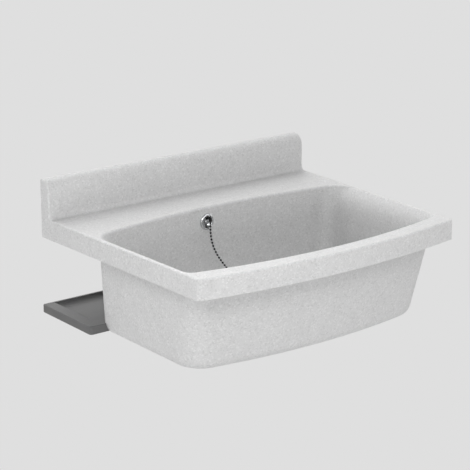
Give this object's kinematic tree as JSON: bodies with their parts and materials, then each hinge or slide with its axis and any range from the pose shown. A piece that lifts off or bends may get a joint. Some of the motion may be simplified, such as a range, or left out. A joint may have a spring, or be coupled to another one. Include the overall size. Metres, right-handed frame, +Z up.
{
  "type": "utility sink",
  "caption": "Wall-hung utility sink with a splash-back, a bowed front rim, a tapered bowl, an overflow, a plug on a ball chain and a plastic console tray behind its foot.",
  "frame": {"origin": "on the wall plane, in the middle of the sink's width, level with the deck's top", "axes": "+Z up, +Y into the wall, +X to the right for a person who faces the sink"},
  "size_m": [0.6, 0.5599, 0.3155],
  "materials": {
    "composite": "moulded mineral composite, matt, white with fine grey speckle",
    "grey_plastic": "moulded, dark grey, fine grain",
    "zinc_steel": "zinc plated",
    "nylon": "moulded, natural",
    "chrome": "polished",
    "steel": "stainless, satin",
    "white_plastic": "moulded polypropylene, white",
    "rubber": "moulded, black",
    "black_metal": "blackened, satin"
  },
  "bodies": {
    "sink": {"sink_bowl": "composite", "console_tray": "grey_plastic", "console_screws": "zinc_steel", "hanger_bolts": "zinc_steel", "hanger_washers": "zinc_steel", "hanger_nuts": "zinc_steel", "hanger_bushes": "nylon", "overflow_rosette": "chrome", "overflow_screw": "steel", "waste_flange": "steel", "waste_screw": "steel", "overflow_elbow": "white_plastic", "overflow_pipe": "white_plastic", "overflow_nuts": "white_plastic", "waste_body": "white_plastic", "overflow_gasket": "rubber", "overflow_seals": "rubber", "waste_top_gasket": "rubber", "waste_bottom_gasket": "rubber", "chain_coupling_upper": "black_metal", "plug_chain": "black_metal"},
    "plug": {"plug_rubber": "rubber", "plug_cap": "chrome", "plug_ring_bolt": "chrome", "plug_washer": "zinc_steel", "plug_nut": "zinc_steel", "chain_coupling_lower": "black_metal"}
  },
  "joints": [
    {"name": "plug_lift", "type": "slide", "parent": "sink", "child": "plug", "axis": [0, 0, 1], "range_m": [0, 0.08], "deforming": ["plug_chain"]}
  ]
}
